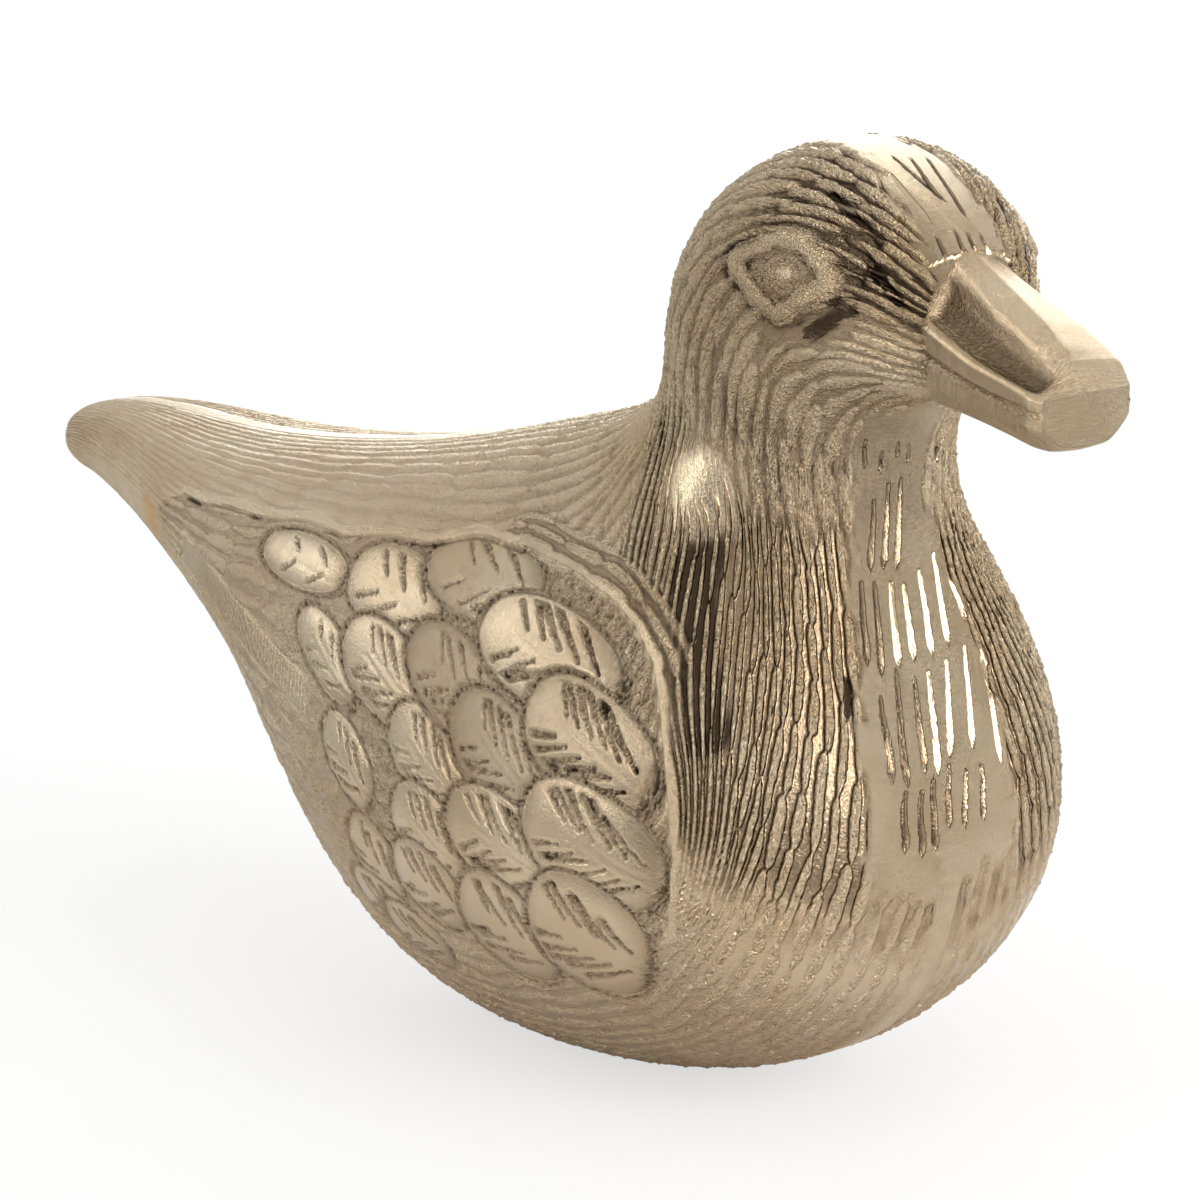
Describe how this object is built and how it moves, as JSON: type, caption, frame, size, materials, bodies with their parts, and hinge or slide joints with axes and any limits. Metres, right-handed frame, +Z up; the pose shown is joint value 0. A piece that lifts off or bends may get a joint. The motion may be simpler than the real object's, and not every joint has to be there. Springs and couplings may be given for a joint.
{
  "type": "brass duck figurine",
  "caption": "Hollow cast brass duck ornament with textured feathers, a flat underside and soft pads.",
  "frame": {"origin": "under the middle of the length and width, on the surface that the pads rest on", "axes": "+X towards the bill, +Y to the duck's own left, +Z up"},
  "size_m": [0.2799, 0.1038, 0.1679],
  "materials": {
    "cast_brass": "sand-cast feather texture, tumbled bright on its high spots",
    "ground_brass": "ground flush and cross-brushed along the weld",
    "soft_pad": "matt milky soft plastic"
  },
  "bodies": {
    "root": {"right_casting": "cast_brass", "left_casting": "cast_brass", "seam_weld": "ground_brass", "front_right_pad": "soft_pad", "front_left_pad": "soft_pad", "rear_right_pad": "soft_pad", "rear_left_pad": "soft_pad"}
  },
  "joints": []
}
